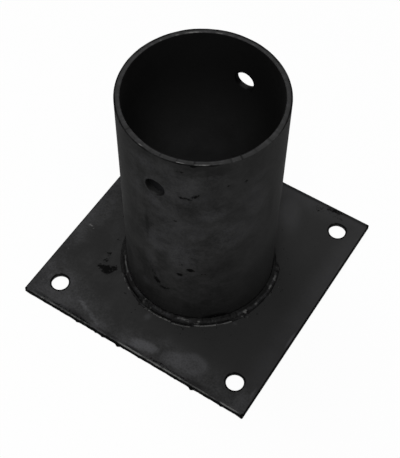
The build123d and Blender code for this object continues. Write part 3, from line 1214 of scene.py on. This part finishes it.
        # The dark lines change away from the front, at the back, and on a stretch near +X
        side = smoothstep(from_front, 50.0, 75.0)
        back = smoothstep(np.abs(degrees - 120.0), 80.0, 50.0)
        bare = smoothstep(np.abs(degrees + 24.0), 28.0, 18.0)
        uneven = 0.75 + 0.35 * Wander(24.0, 33, 4).at(around, self.girth())
        streaks = smoothstep(Wander(8.0, 36, 4).at(around, self.girth()), 0.1, 1.1) * on_top
        streaks = streaks * (0.7 - 0.45 * side)
        arris = smoothstep(from_outer + 0.5 * side, -0.5, -0.25)
        arris = arris * smoothstep(height, self.top - 0.95, self.top - 0.7)
        arris = (0.85 + 0.25 * side) * (1 - 0.7 * bare) * (1 - back) * arris
        outer_line = 0.85 * back * smoothstep(from_outer, -1.5, -1.1) * on_top
        inner_line = 0.8 * smoothstep(from_front, 50.0, 30.0) * smoothstep(radius - self.inner, 0.9, 0.5)
        rim_dark_lines = np.maximum(uneven * np.maximum(arris, outer_line), inner_line * on_top)
        return np.maximum(rim_dark_lines, streaks)

    def mark(self, tube: bpy.types.Object) -> None:
        """Stores the paint's stains, film, thick paint, even coat and worn edges, with painted light, painted
        shade and painted highlights among them.

        Args:
            tube: The finished mesh, true to size.
        """
        x, y, z = vertex_places(tube)
        radius = np.hypot(x, y)
        degrees = np.degrees(np.arctan2(y, x))
        outside = smoothstep(radius, self.outer - 0.6, self.outer - 0.3)
        near_rim = smoothstep(z, self.top - 0.3, self.top - 0.15)
        from_hole = np.hypot(x, z - self.cross_height) - self.cross_radius
        store(tube, Field.STAIN, self.strongest(self.stains, degrees, z) * outside)

        # The coat is more even near +X, and most of all in the bore
        right = smoothstep(np.abs(degrees + 8.0), 40.0, 20.0)
        store(tube, Field.CALM, np.where(outside > 0.5, 0.25 + 0.35 * right, 0.8))

        # Pale film in smudges, round the cross hole and on the rim, and painted light low in the bore
        scraped = 0.34 * bell(from_hole, 0.9, 0.5)
        smudged = np.maximum(self.strongest(self.films, degrees, z), scraped) * outside
        deep = (0.31 * smoothstep(z, 110.0, 30.0) + 0.6 * smoothstep(z, 45.0, 25.0)) * (1 - outside)
        store(tube, Field.FILM_AND_LIGHT, np.max([smudged, deep, self.rim_film(degrees, radius, z)], axis=0))

        # Painted shade low on the outside and high in the bore, darker paint on the rim, and painted shade in
        # the cross hole's wall with painted light at its bottom
        foot = 0.45 * smoothstep(z, 45.0, 8.0)
        foot = np.maximum(foot, self.strongest(self.pooled, degrees, z)) * outside
        bore_mouth_shade = 0.6 * smoothstep(z, 45.0, 135.0) * (1 - outside) * (1 - near_rim)
        in_wall = smoothstep(from_hole, 0.35, 0.1) * (np.abs(y) > self.inner - 3)
        lit = bell(x, -0.8, 2.2) * smoothstep(z, self.cross_height, self.cross_height - 2.0)
        drilled = in_wall * (1 - lit) * np.where(y > 0, 1.0, 0.7)
        rim = self.rim_thick(degrees, radius, z)
        store(tube, Field.THICK, np.max([foot, bore_mouth_shade, drilled, rim], axis=0))

        # Painted highlights, partly worn paint, on stretches of the rim's two arrises
        outer_highlight = self.rubbed_and_highlight(self.glints, degrees) * bell(radius - self.outer, -0.55, 0.3)
        inner_highlight = self.rubbed_and_highlight(self.inner_glints, degrees) * bell(radius - self.inner, 0.5, 0.5)
        store(tube, Field.WEAR_AND_HIGHLIGHT, np.maximum(outer_highlight, inner_highlight) * near_rim)

    def dress(self, tube: bpy.types.Object) -> None:
        """Paints the tube and fastens it in place of the imported tube."""
        tube.data.materials.append(SLEEVE_PAINT.material())
        fasten(tube, "sleeve_coating", "post_sleeve")


@dataclass(frozen=True)
class Streak:
    """A narrow band along the weld: dark for painted shade in its creases and for pooled paint, light for
    painted highlights and worn paint.

    Attributes:
        start: Where it starts, in degrees from +X.
        end: Where it ends, in degrees.
        out: Distance of its middle from the tube's wall, in mm.
        width: Half width across the bead, in mm.
        strength: 1 for a full streak.
    """

    start: float
    end: float
    out: float
    width: float = 0.4
    strength: float = 1.0

    def field(self, place: np.ndarray, out: np.ndarray) -> np.ndarray:
        """Strength of the streak at some places.

        Args:
            place: Angles round the tube, in degrees.
            out: Distances from the tube's wall, in mm.

        Returns:
            Numbers from 0 to strength.
        """
        half = (self.end - self.start) / 2
        away = np.abs(turned(place, self.start + half))
        return self.strength * smoothstep(away, half + 0.5, half - 0.5) * bell(out, self.out, self.width)


@dataclass
class WeldBead:
    """Fillet weld round the foot of the tube. Sizes are in mm.

    Attributes:
        radius: Outer radius of the tube.
        level: Height of the plate's top face.
        legs: Angles from +X in degrees, and the bead's leg on the plate there.
        overlaps: Angles where a run ends on the next one's start, and the share of the full swelling there.
        dark: Streaks of painted shade in the bead's creases and at its toes, and of pooled paint.
        light: Streaks of painted highlight on the bead's crown and toe, partly worn paint.
        faint: Streaks of pale film.
        rise: Leg of the bead on the tube.
        crown: How far the face bulges.
        groove: Depth of the hollow that the paint left dark between the bead and its lip on the plate.
        groove_place: Its share of the way from the tube to the toe on the plate.
        lip: Height of that lip.
        lip_place: Its share of that way.
        overlap: Greatest swelling where a run ends on the start of the next.
        overlap_length: Length of that swelling along the tube.
        steps: Columns of mesh round the tube.
        ripple_pitch: Distance between the frozen ripples.
        ripple_height: Height of the ripples.
        ripple_bow: How strongly the ripples bow: how far they'd stray along the weld over its full width.
        ripple_waver: How far they stray along the weld at most.
        waver_size: Length of that straying.
    """

    radius: float
    level: float
    legs: tuple[tuple[float, float], ...] = (
        (-150.0, 4.4), (-131.0, 4.6), (-118.0, 4.7), (-110.0, 4.3), (-100.0, 4.9), (-79.5, 4.9),
        (-77.0, 5.6), (-65.0, 5.6), (-62.5, 4.4), (-48.0, 4.7), (-44.0, 4.5), (-36.0, 5.0), (-20.0, 4.5),
        (-6.0, 4.4), (2.0, 4.6), (19.0, 4.6), (24.0, 4.2), (28.0, 2.0), (136.0, 2.1), (141.0, 4.2),
    )
    overlaps: tuple[tuple[float, float], ...] = ((-102.0, 1.0), (-24.0, 0.9), (21.0, 0.35), (141.0, 1.0))
    dark: tuple[Streak, ...] = (
        Streak(-147.0, -131.0, 4.0, 0.3, 0.8), Streak(-146.5, -130.0, 2.4, 0.35),
        Streak(-132.0, -106.0, 3.0, 0.55), Streak(-131.0, -124.0, 1.9, 0.3, 0.7),
        Streak(-106.0, -102.5, 3.4, 0.4, 0.9), Streak(-105.5, -103.0, 1.4, 0.3, 0.9),
        Streak(-102.0, -99.5, 1.6, 0.4, 0.9), Streak(-98.7, -96.8, 1.6, 0.4, 0.9),
        Streak(-100.0, -98.6, 5.3, 0.3, 0.7), Streak(-98.5, -95.0, 3.5, 0.4, 0.8),
        Streak(-95.0, -78.0, 3.6, 0.45, 0.9), Streak(-79.0, -63.5, 4.3, 0.45),
        Streak(-63.0, -58.0, 3.7, 0.25, 0.6), Streak(-58.0, -46.5, 3.5, 0.35, 0.95),
        Streak(-46.0, -36.0, 3.6, 0.4, 0.9), Streak(-57.0, -30.0, 1.3, 0.9, 0.75),
        Streak(-25.5, -21.5, 3.8, 0.3), Streak(-21.0, -5.0, 4.0, 0.35, 0.7),
        Streak(-34.0, -3.0, 1.5, 0.35, 0.7), Streak(-14.5, -12.5, 3.7, 0.3, 0.8),
        Streak(-3.0, 14.0, 4.5, 0.3, 0.7), Streak(4.5, 7.0, 4.8, 0.3, 0.7),
        Streak(11.5, 13.5, 5.0, 0.3, 0.8), Streak(18.5, 25.0, 4.3, 0.35), Streak(17.0, 19.0, 2.8, 0.6, 0.5),
        Streak(22.5, 25.0, 1.4, 0.4, 0.8), Streak(26.0, 34.0, 1.2, 1.0, 0.7),
    )
    light: tuple[Streak, ...] = (
        Streak(-146.5, -131.0, 1.3, 0.35, 0.6), Streak(-133.0, -113.0, 4.5, 0.35, 0.45),
        Streak(-120.5, -118.8, 4.4, 0.35, 0.8), Streak(-96.5, -78.5, 4.7, 0.4, 0.6),
        Streak(-87.0, -85.0, 4.7, 0.4, 0.9), Streak(-84.0, -81.0, 4.6, 0.4, 0.9),
        Streak(-78.0, -63.8, 5.4, 0.4, 0.6), Streak(-75.5, -65.5, 1.8, 0.4, 0.4),
        Streak(-70.0, -68.0, 1.8, 0.4, 0.65), Streak(-68.5, -65.5, 2.8, 0.3, 0.45),
        Streak(-62.0, -58.0, 4.2, 0.35, 0.8), Streak(-57.8, -46.8, 4.5, 0.5, 0.95),
        Streak(-59.5, -57.8, 2.1, 0.4, 0.9), Streak(-62.0, -58.5, 3.1, 0.2, 0.45),
        Streak(-46.0, -35.5, 4.7, 0.45, 0.75), Streak(-25.5, -22.2, 2.9, 0.5, 0.7),
        Streak(-14.3, -12.3, 2.9, 0.5, 0.6), Streak(2.3, 6.3, 3.0, 0.45, 0.8),
        Streak(10.8, 15.2, 3.2, 0.6, 0.85),
    )
    faint: tuple[Streak, ...] = (
        Streak(-127.0, -122.0, 1.0, 0.3, 0.5), Streak(-117.0, -107.0, 1.3, 0.7, 0.4),
        Streak(-111.0, -97.0, 4.7, 0.4, 0.4), Streak(-95.0, -80.0, 1.7, 0.8, 0.36),
        Streak(-77.0, -64.0, 2.2, 0.9, 0.3), Streak(-30.0, -18.0, 2.8, 0.7, 0.36),
        Streak(-20.0, 1.0, 2.9, 0.8, 0.44), Streak(0.0, 18.0, 3.0, 0.8, 0.5),
    )
    rise: float = 2.5
    crown: float = 0.4
    groove: float = 0.45
    groove_place: float = 0.77
    lip: float = 0.12
    lip_place: float = 0.93
    overlap: float = 0.7
    overlap_length: float = 9.0
    steps: int = 720
    ripple_pitch: float = 1.9
    ripple_height: float = 0.07
    ripple_bow: float = 5.0
    ripple_waver: float = 2.5
    waver_size: float = 4.0

    def angles(self) -> np.ndarray:
        """Returns the angle of each column from +X, in degrees."""
        return np.arange(self.steps) * 360 / self.steps

    def plan(self, angles: np.ndarray) -> tuple[np.ndarray, np.ndarray]:
        """Leg on the plate and swelling of the bead round the tube.

        Args:
            angles: Places round the tube, in degrees from 0 to 360.

        Returns:
            The leg in mm and the swelling from 0 to 1, at each place.
        """
        given, widths = zip(*self.legs)
        leg = np.interp(angles, given, widths, period=360)
        spread = bell(np.linspace(-1, 1, 9), 0.0, 0.5)
        leg = np.convolve(np.pad(leg, 4, mode="wrap"), spread / spread.sum(), "valid")
        swelling = np.zeros_like(angles)
        for middle, share in self.overlaps:
            arc = np.radians(turned(angles, middle)) * self.radius
            swelling = np.maximum(swelling, share * bell(arc, 0.0, self.overlap_length / 2))
        return leg, swelling

    def section(self) -> bpy.types.Object:
        """Builds the plain bead, with the fields that its ripples follow.

        Returns:
            A closed ring.
        """
        turn = np.radians(self.angles())
        around = turn * self.radius
        length = 2 * math.pi * self.radius
        leg, swelling = self.plan(self.angles())
        leg = leg + 0.12 * Wander(17.0, 41).at(around, length) + 0.4 * self.overlap * swelling
        rise = self.rise + 0.3 * Wander(13.0, 42).at(around, length) + 0.5 * self.overlap * swelling
        crown = self.crown * (1 + 0.4 * Wander(15.0, 43).at(around, length)) + 0.5 * self.overlap * swelling
        hollow = self.groove * (1 - 0.7 * swelling) * (0.8 + 0.3 * Wander(22.0, 44).at(around, length))
        outwards, upwards = 0.5, 0.87  # the face swells at 60 degrees to the plate
        rows = []
        for share in [0.0, *np.arange(0.05, 0.65, 0.06), *np.arange(0.66, 0.99, 0.035), 1.0]:
            bulge = crown * math.sin(math.pi * share) ** 0.6
            dent = hollow * bell(share, self.groove_place, 0.09)
            lip = self.lip * bell(share, self.lip_place, 0.06)
            swell = bulge + lip - dent
            out = leg * share + swell * outwards
            up = rise * (1 - share) + swell * upwards
            rows.append((self.radius + np.maximum(out, 0.0), self.level + np.maximum(up, 0.0)))

        # The back of the bead lies inside the plate and the tube's wall, so that both hold it
        under, behind = self.level - 0.3, self.radius - 0.4
        backs = ((self.radius + leg - 0.3, under), (behind, under), (behind, self.level + rise - 0.2))
        rows += [*backs, rows[0]]
        shell = Shell()
        shell.add_sheet(np.stack([on_circle(out, turn, up) for out, up in rows]), loop=True)
        bead = shell.make("weld_bead")
        self.mark(bead, leg)
        return bead

    def mark(self, bead: bpy.types.Object, leg: np.ndarray) -> None:
        """Stores where each place lies on the bead, and its pooled paint, film and worn paint, with painted
        shade and painted highlights among them.

        Args:
            bead: The plain bead.
            leg: Its leg on the plate at each column.
        """
        x, y, z = vertex_places(bead)
        place = np.degrees(np.arctan2(y, x)) % 360
        out = np.hypot(x, y) - self.radius
        store(bead, Field.ALONG, np.radians(place) * self.radius)
        own_leg = np.interp(place, self.angles(), leg, period=360)
        store(bead, Field.ACROSS, np.clip(out / own_leg, 0, 1))
        shown = smoothstep(z, self.level - 0.2, self.level)
        light, dark, faint = (np.max([streak.field(place, out) for streak in streaks], axis=0)
                              for streaks in (self.light, self.dark, self.faint))
        # Painted shade in the corner where the bead meets the tube
        dark = np.maximum(dark, bell(out, 0.0, 0.7))
        store(bead, Field.THICK, shown * np.maximum(0.35, dark) * (1 - light))
        store(bead, Field.WEAR_AND_HIGHLIGHT, shown * light)
        store(bead, Field.FILM_AND_LIGHT, shown * faint)

    def ripple_tree(self, finish: bpy.types.Material) -> bpy.types.NodeTree:
        """Geometry nodes that raise crescent ripples on the bead.

        Args:
            finish: Material of the result.

        Returns:
            The node group, with named inputs for pitch, height, bow, waver and seed.
        """
        tree, known = start_tree("weld ripples", ("Pitch", "Height", "Bow", "Waver", "Seed"))
        for field in (Field.ALONG, Field.ACROSS):
            node = add_node(tree, "GeometryNodeInputNamedAttribute", {"Name": field.value})
            known[field.value] = node.outputs[0]
        place = add_node(tree, "GeometryNodeInputPosition").outputs[0]
        inputs = {"Vector": place, "W": known["Seed"], "Scale": 1 / (self.waver_size * MM), "Detail": 2.0}
        known["noise"] = add_node(tree, "ShaderNodeTexNoise", inputs, noise_dimensions="4D").outputs[0]

        # Each step of the arithmetic: the name of its result, the operation, and its terms
        steps = (
            ("centred", "SUBTRACT", "across", 0.4),  # where the crescents bow out farthest
            ("bend", "MULTIPLY", "centred", "centred"),
            ("bowed", "MULTIPLY_ADD", "bend", "Bow", "along"),
            ("uneven", "MULTIPLY_ADD", "noise", "Waver", "bowed"),
            ("turns", "DIVIDE", "uneven", "Pitch"),
            ("phase", "MULTIPLY", "turns", 2 * math.pi),
            ("swing", "SINE", "phase"),
            ("wave", "MULTIPLY_ADD", "swing", 0.5, 0.5),
            ("inwards", "SUBTRACT", 1.0, "across"),
            ("arch", "MULTIPLY", "across", "inwards"),
            ("share", "MULTIPLY", "arch", 4.0),  # 1 in the middle of the bead, 0 at its toes
            ("faded", "MULTIPLY", "wave", "share"),
            ("height", "MULTIPLY", "faded", "Height"),
        )
        for result, operation, *terms in steps:
            inputs = {number: known.get(term, term) for number, term in enumerate(terms)}
            known[result] = add_node(tree, "ShaderNodeMath", inputs, operation=operation).outputs[0]
        end_tree(tree, known["Geometry"], known["height"], finish)
        return tree

    def build(self) -> bpy.types.Object:
        """Builds the rippled bead.

        Returns:
            The weld.
        """
        bead = self.section()
        tree = self.ripple_tree(WELD_PAINT.material())
        sizes = {"Pitch": self.ripple_pitch, "Height": self.ripple_height, "Bow": self.ripple_bow,
                 "Waver": self.ripple_waver, "Seed": 3.0}
        apply_tree(bead, tree, sizes)
        return bead

    def dress(self, bead: bpy.types.Object) -> None:
        """Fastens the painted weld in place of the imported weld."""
        fasten(bead, "weld_coating", "fillet_weld")


@dataclass(frozen=True)
class Nodule:
    """A lump where the welder stopped or started the arc.

    Attributes:
        angle: Place round the tube, in degrees from +X.
        out: Distance from the tube's wall, in mm.
        size: Radius, in mm.
        shine: Painted highlight on its top, from 0 to 1.
    """

    angle: float
    out: float
    size: float
    shine: float = 0.0


@dataclass
class Spatter:
    """Nodules on the bead, and fine balls of metal that the arc threw beside it. Sizes are in mm.

    Attributes:
        radius: Outer radius of the tube.
        level: Height of the plate's top face.
        rise: Leg of the bead on the tube.
        leg: Leg of the bead on the plate.
        nodules: The lumps.
        balls: How many fine balls there are.
        ball_sizes: Least and greatest radius of a ball.
        reach: How far from the bead most balls fell.
        plate_share: Share of the balls that lie on the plate. The others stick to the tube.
        seat: Height of a ball's middle above the metal, as a share of its radius.
        sink: How deep a lump's middle lies in the bead, as a share of its radius.
        bump_size: Width of the bumps on lumps and balls.
        seed: Fixes the places and sizes of the balls.
    """

    radius: float
    level: float
    rise: float = 2.5
    leg: float = 5.0
    nodules: tuple[Nodule, ...] = (
        Nodule(-103.0, 0.9, 0.9, 0.3), Nodule(-104.5, 5.0, 0.7), Nodule(-102.0, 2.6, 1.2, 0.25),
        Nodule(-99.0, 2.8, 1.1), Nodule(-98.5, 4.6, 0.8, 0.3), Nodule(-106.5, 2.6, 1.0),
        Nodule(-96.0, 2.6, 0.8, 0.3), Nodule(-24.0, 2.9, 1.0, 0.5), Nodule(-27.2, 4.3, 0.7, 0.4),
        Nodule(-23.8, 4.9, 0.6, 0.2), Nodule(-24.3, 6.2, 0.45, 0.3), Nodule(-29.0, 4.4, 0.5),
        Nodule(-26.0, 5.3, 0.4), Nodule(-1.2, 5.3, 0.5, 0.3), Nodule(1.5, 5.3, 0.5, 0.25),
        Nodule(7.3, 7.2, 0.35, 0.3), Nodule(13.9, 6.0, 0.35, 0.3), Nodule(21.2, 2.8, 1.5, 0.1),
    )
    balls: int = 90
    ball_sizes: tuple[float, float] = (0.12, 0.32)
    reach: float = 3.0
    plate_share: float = 0.6
    seat: float = 0.2
    sink: float = 0.4
    bump_size: float = 1.5
    seed: int = 5

    def points(self) -> bpy.types.Object:
        """Builds the points that carry the lumps and balls.

        Returns:
            A mesh of loose vertices, each with its size and shine.
        """
        rng = np.random.default_rng(self.seed)
        lump_turn = np.radians([each.angle for each in self.nodules])
        lump_out = np.array([each.out for each in self.nodules])
        lump_size = np.array([each.size for each in self.nodules])

        # The bead's face stands a little above the straight line between its toes
        crown = 0.1
        lump_up = self.rise * np.maximum(1 - lump_out / self.leg, 0) + crown - self.sink * lump_size

        # The nearest balls lie this far past the bead's toes on the plate and on the tube
        past_plate, past_tube = 1.0, 0.8
        turn = rng.uniform(0, 2 * math.pi, self.balls)
        size = rng.uniform(*self.ball_sizes, self.balls)
        away = np.minimum(rng.exponential(self.reach, self.balls), 5 * self.reach)
        on_plate = rng.random(self.balls) < self.plate_share
        out = np.where(on_plate, self.leg + past_plate + away, self.seat * size)
        up = np.where(on_plate, self.seat * size, self.rise + past_tube + away)
        turn, out, up = (np.concatenate(pair) for pair in ((lump_turn, turn), (lump_out, out), (lump_up, up)))
        places = on_circle(self.radius + out, turn, self.level + up) * MM
        mesh = bpy.data.meshes.new("spatter")
        mesh.from_pydata(places.tolist(), [], [])
        piece = bpy.data.objects.new("spatter", mesh)
        bpy.context.scene.collection.objects.link(piece)
        store(piece, Field.SIZE, np.concatenate([lump_size, size]))
        shine = [each.shine for each in self.nodules] + [0.0] * self.balls
        store(piece, Field.WEAR_AND_HIGHLIGHT, np.array(shine))
        return piece

    def tree(self, finish: bpy.types.Material) -> bpy.types.NodeTree:
        """Geometry nodes that put an uneven ball on each point.

        Args:
            finish: Material of the result.

        Returns:
            The node group, with named inputs for unevenness and seed.
        """
        tree, known = start_tree("weld spatter", ("Unevenness", "Seed"))
        size = add_node(tree, "GeometryNodeInputNamedAttribute", {"Name": Field.SIZE.value}).outputs[0]
        ball = add_node(tree, "GeometryNodeMeshIcoSphere", {"Radius": MM, "Subdivisions": 3}).outputs[0]
        inputs = {"Points": known["Geometry"], "Instance": ball, "Scale": size}
        placed = add_node(tree, "GeometryNodeInstanceOnPoints", inputs).outputs[0]
        real = add_node(tree, "GeometryNodeRealizeInstances", {0: placed}).outputs[0]
        place = add_node(tree, "GeometryNodeInputPosition").outputs[0]
        inputs = {"Vector": place, "W": known["Seed"], "Scale": 1 / (self.bump_size * MM), "Detail": 1.0}
        noise = add_node(tree, "ShaderNodeTexNoise", inputs, noise_dimensions="4D").outputs[0]
        inputs = {0: noise, 1: known["Unevenness"]}
        swell = add_node(tree, "ShaderNodeMath", inputs, operation="MULTIPLY").outputs[0]
        grown = add_node(tree, "ShaderNodeMath", {0: swell, 1: size}, operation="MULTIPLY").outputs[0]
        end_tree(tree, real, grown, finish)
        return tree

    def build(self) -> bpy.types.Object:
        """Builds the lumps and balls as one mesh.

        Returns:
            The spatter.
        """
        piece = self.points()
        apply_tree(piece, self.tree(WELD_PAINT.material()), {"Unevenness": 0.5, "Seed": 2.0})
        return piece

    def dress(self, piece: bpy.types.Object) -> None:
        """Fastens the painted spatter to the base."""
        fasten(piece, "weld_coating")


@dataclass(frozen=True)
class Softbox:
    """A square lamp that faces the object.

    Attributes:
        name: Name of the lamp.
        place: Where it stands, in metres.
        size: Width and height, in metres.
        power: Its light, in watts.
    """

    name: str
    place: tuple[float, float, float]
    size: float
    power: float


@dataclass
class Studio:
    """Camera, floor and lamps.

    Attributes:
        azimuth: Camera's turn from looking along +Y, in degrees.
        elevation: Camera's height above the horizon, in degrees.
        roll: Turn about its own axis, in degrees.
        distance: From the aim point, in mm.
        aim: Point that the picture's middle looks at, in mm.
        focal: Focal length in pixels of the picture.
        ambient: Strength at which the white surroundings light the object.
        shadow: Share of the floor's brightness that the lamps give it.
        floor_reach: Half width of the floor, in metres.
        floor_drop: How far the floor lies below the plate, in mm.
        lamps: The softboxes.
    """

    azimuth: float = 31.80
    elevation: float = 56.17
    roll: float = 0.89
    distance: float = 575.2
    aim: tuple[float, float, float] = (7.58, -13.19, 54.97)
    focal: float = 1043.7
    ambient: float = 0.04
    shadow: float = 0.055
    floor_reach: float = 3.0
    floor_drop: float = 0.2
    lamps: tuple[Softbox, ...] = (
        Softbox("top softbox", (0.077, -0.124, 1.55), 0.6, 6.5),
        Softbox("front softbox", (0.38, -0.61, 1.354), 0.6, 10.5),
        Softbox("back softbox", (-0.72, 0.35, 1.28), 0.7, 8.5),
    )

    def camera(self) -> None:
        """Puts the camera where the photograph was taken from."""
        turn, tilt, roll = (math.radians(angle) for angle in (self.azimuth, self.elevation, self.roll))
        back = Vector((math.sin(turn) * math.cos(tilt), -math.cos(turn) * math.cos(tilt), math.sin(tilt)))
        level = (-back).cross(Vector((0, 0, 1))).normalized()
        upright = level.cross(-back)
        right = math.cos(roll) * level + math.sin(roll) * upright
        up = math.cos(roll) * upright - math.sin(roll) * level
        data = bpy.data.cameras.new("camera")
        data.lens = self.focal / PHOTO_HEIGHT * data.sensor_width
        data.clip_start = 0.01
        camera = bpy.data.objects.new("camera", data)
        place = (Vector(self.aim) + back * self.distance) * MM
        camera.matrix_world = Matrix.Translation(place) @ Matrix((right, up, back)).transposed().to_4x4()
        bpy.context.scene.collection.objects.link(camera)
        bpy.context.scene.camera = camera

    def light(self, softbox: Softbox) -> None:
        """Sets a lamp up, turned to the object.

        Args:
            softbox: The lamp.
        """
        data = bpy.data.lights.new(softbox.name, "AREA")
        data.size = softbox.size
        data.energy = softbox.power
        lamp = bpy.data.objects.new(softbox.name, data)
        lamp.location = softbox.place
        lamp.rotation_euler = (Vector(self.aim) * MM - lamp.location).to_track_quat("-Z", "Y").to_euler()
        bpy.context.scene.collection.objects.link(lamp)

    def white_to(self, tree: bpy.types.NodeTree) -> bpy.types.NodeSocket:
        """Adds a switch that is 1 for rays that see the white background.

        Args:
            tree: Nodes of the world or the floor.

        Returns:
            The socket of the switch.
        """
        path = add_node(tree, "ShaderNodeLightPath").outputs
        total = path["Is Camera Ray"]
        for name in ("Is Glossy Ray", "Is Transmission Ray"):
            inputs = {0: total, 1: path[name]}
            total = add_node(tree, "ShaderNodeMath", inputs, operation="MAXIMUM").outputs[0]
        return total

    def world(self) -> None:
        """Surrounds the scene with soft light, seen as white."""
        world = bpy.data.worlds.new("studio")
        world.use_nodes = True
        tree = world.node_tree
        inputs = {"Value": self.white_to(tree), "To Min": self.ambient, "To Max": 1.0}
        strength = add_node(tree, "ShaderNodeMapRange", inputs)
        background = tree.nodes["Background"]
        background.inputs["Color"].default_value = (1, 1, 1, 1)
        tree.links.new(strength.outputs["Result"], background.inputs["Strength"])
        bpy.context.scene.world = world

    def floor(self) -> None:
        """Lays a white floor that keeps a faint shadow."""
        mesh = bpy.data.meshes.new("floor")
        drop = -self.floor_drop * MM
        corners = [(x * self.floor_reach, y * self.floor_reach, drop)
                   for x, y in ((-1, -1), (1, -1), (1, 1), (-1, 1))]
        mesh.from_pydata(corners, [], [(0, 1, 2, 3)])
        material = bpy.data.materials.new("white studio floor")
        material.use_nodes = True
        tree = material.node_tree
        tree.nodes.clear()
        paper = add_node(tree, "ShaderNodeBsdfDiffuse", {"Color": linear_from_hex("#ececec")}).outputs[0]
        glow = add_node(tree, "ShaderNodeEmission", {"Strength": 1.0}).outputs[0]
        white = add_node(tree, "ShaderNodeMixShader", {0: self.shadow, 1: glow, 2: paper}).outputs[0]
        mixed = add_node(tree, "ShaderNodeMixShader", {0: self.white_to(tree), 1: paper, 2: white}).outputs[0]
        add_node(tree, "ShaderNodeOutputMaterial", {"Surface": mixed})
        mesh.materials.append(material)
        floor = bpy.data.objects.new("floor", mesh)
        bpy.context.scene.collection.objects.link(floor)

    def build(self) -> None:
        """Sets the studio up."""
        bpy.context.scene.view_settings.view_transform = "Standard"
        self.camera()
        self.world()
        self.floor()
        for softbox in self.lamps:
            self.light(softbox)
        log.info("studio: camera, floor and %d lamps", len(self.lamps))


def main() -> None:
    """Builds the pieces and the studio."""
    logging.basicConfig(level=logging.INFO, format="%(message)s")
    plate_low, plate_high = (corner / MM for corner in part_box("base_plate"))
    sleeve_low, sleeve_high = (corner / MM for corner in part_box("post_sleeve"))
    anchors, cross, socket = (mount(name) for name in ("anchor_bolts", "cross_bolt", "post_socket"))
    plate = BasePlate(
        side=round(plate_high.x - plate_low.x, 3),
        thickness=round(plate_high.z, 3),
        hole_spacing=anchors["dims"]["spacing_x_mm"],
        hole_radius=anchors["dims"]["hole_r_mm"],
    )
    sleeve = PostSleeve(
        outer=round(sleeve_high.x, 2),
        inner=socket["dims"]["r_mm"],
        foot=plate.thickness,
        top=round(sleeve_high.z, 3),
        cross_height=cross["pos_m"][2] / MM,
        cross_radius=cross["dims"]["r_mm"],
    )
    weld = WeldBead(radius=sleeve.outer, level=plate.thickness)
    spatter = Spatter(radius=sleeve.outer, level=plate.thickness)
    for part in (plate, sleeve, weld, spatter):
        part.dress(part.build())
    Studio().build()


if __name__ == "__main__":
    main()
